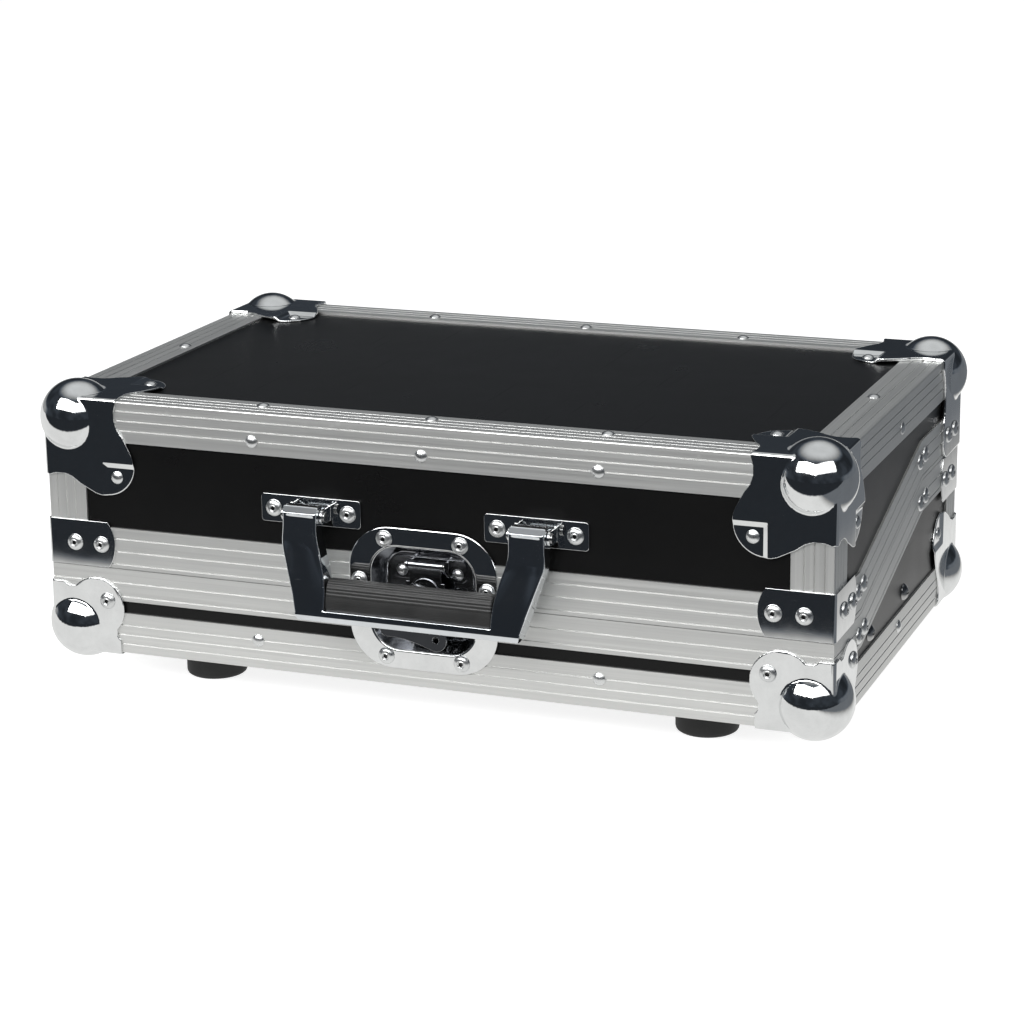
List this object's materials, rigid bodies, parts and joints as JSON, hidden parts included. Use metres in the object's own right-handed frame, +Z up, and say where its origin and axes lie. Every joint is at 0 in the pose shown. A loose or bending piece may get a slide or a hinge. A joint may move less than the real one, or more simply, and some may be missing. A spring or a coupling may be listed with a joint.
{
  "type": "lighting controller flight case",
  "caption": "Flight case with a low front, a tall back and a stepped slanted lid line, grooved aluminium edges, ball corners, a drop handle and a recessed butterfly latch.",
  "frame": {"origin": "middle of the bounding box in plan, on the plane that the feet stand on, closed with the handle hanging", "axes": "+X to the right seen from the handle side, +Y from the handle to the hinges, +Z up"},
  "size_m": [0.598, 0.397, 0.221],
  "materials": {
    "laminate": "black laminate with a fine satin grain on plywood",
    "extrusion": "natural anodised, drawn along its length",
    "chrome": "bright chrome plate on pressed steel",
    "dark_hardware": "darker nickel plate",
    "grip": "satin, finely ribbed",
    "rubber": "matt",
    "foam": "dark grey open-cell foam"
  },
  "bodies": {
    "base": {"base_bottom_panel": "laminate", "base_front_panel": "laminate", "base_back_panel": "laminate", "base_side_panels": "laminate", "base_front_edge": "extrusion", "base_back_edge": "extrusion", "base_left_edge": "extrusion", "base_right_edge": "extrusion", "base_corner_posts": "extrusion", "base_front_rim": "extrusion", "base_back_rim": "extrusion", "base_left_rim": "extrusion", "base_right_rim": "extrusion", "base_front_corners": "chrome", "base_back_corners": "chrome", "base_corner_braces": "chrome", "base_dome_rivets": "chrome", "base_blind_rivets": "chrome", "base_foam": "foam", "side_screws": "dark_hardware", "base_hinge_leaves": "chrome", "hinge_pins": "dark_hardware", "feet": "rubber", "foot_screws": "dark_hardware", "latch_lower_dish": "chrome", "latch_keeper": "dark_hardware"},
    "lid": {"lid_top_panel": "laminate", "lid_front_panel": "laminate", "lid_back_panel": "laminate", "lid_side_panels": "laminate", "lid_front_edge": "extrusion", "lid_back_edge": "extrusion", "lid_left_edge": "extrusion", "lid_right_edge": "extrusion", "lid_corner_posts": "extrusion", "lid_front_rim": "extrusion", "lid_back_rim": "extrusion", "lid_left_rim": "extrusion", "lid_right_rim": "extrusion", "lid_front_corners": "chrome", "lid_back_corners": "chrome", "lid_corner_braces": "chrome", "lid_dome_rivets": "chrome", "lid_blind_rivets": "chrome", "lid_foam": "foam", "lid_hinge_leaves": "chrome", "latch_upper_dish": "chrome", "latch_bracket": "chrome", "latch_bracket_rivets": "chrome", "latch_link_pin": "dark_hardware", "handle_brackets": "chrome", "handle_pins": "dark_hardware"},
    "handle": {"handle_bail": "chrome", "handle_grip": "grip"},
    "latch_link": {"latch_link": "chrome"},
    "latch_wing": {"latch_wing": "chrome"},
    "latch_hook": {"latch_hook": "dark_hardware"}
  },
  "joints": [
    {"name": "lid_hinge", "type": "hinge", "parent": "base", "child": "lid", "pos_m": [0, 0.1925, 0.13597], "axis": [-1, 0, 0], "range_deg": [0, 105]},
    {"name": "handle_swing", "type": "hinge", "parent": "lid", "child": "handle", "pos_m": [0, -0.1765, 0.1445], "axis": [-1, 0, 0], "range_deg": [0, 105]},
    {"name": "latch_swing", "type": "hinge", "parent": "lid", "child": "latch_link", "pos_m": [0, -0.16125, 0.112], "axis": [-1, 0, 0], "range_deg": [0, 15]},
    {"name": "latch_turn", "type": "hinge", "parent": "latch_link", "child": "latch_wing", "pos_m": [0, -0.1655, 0.075], "axis": [0, -1, 0], "range_deg": [0, 180]},
    {"name": "hook_slide", "type": "slide", "parent": "latch_link", "child": "latch_hook", "axis": [0, 0, 1], "range_m": [0, 0.00501]}
  ],
  "couplings": [
    {"joint": "hook_slide", "follows": "latch_turn", "m_per_rad": 0.0015915}
  ]
}
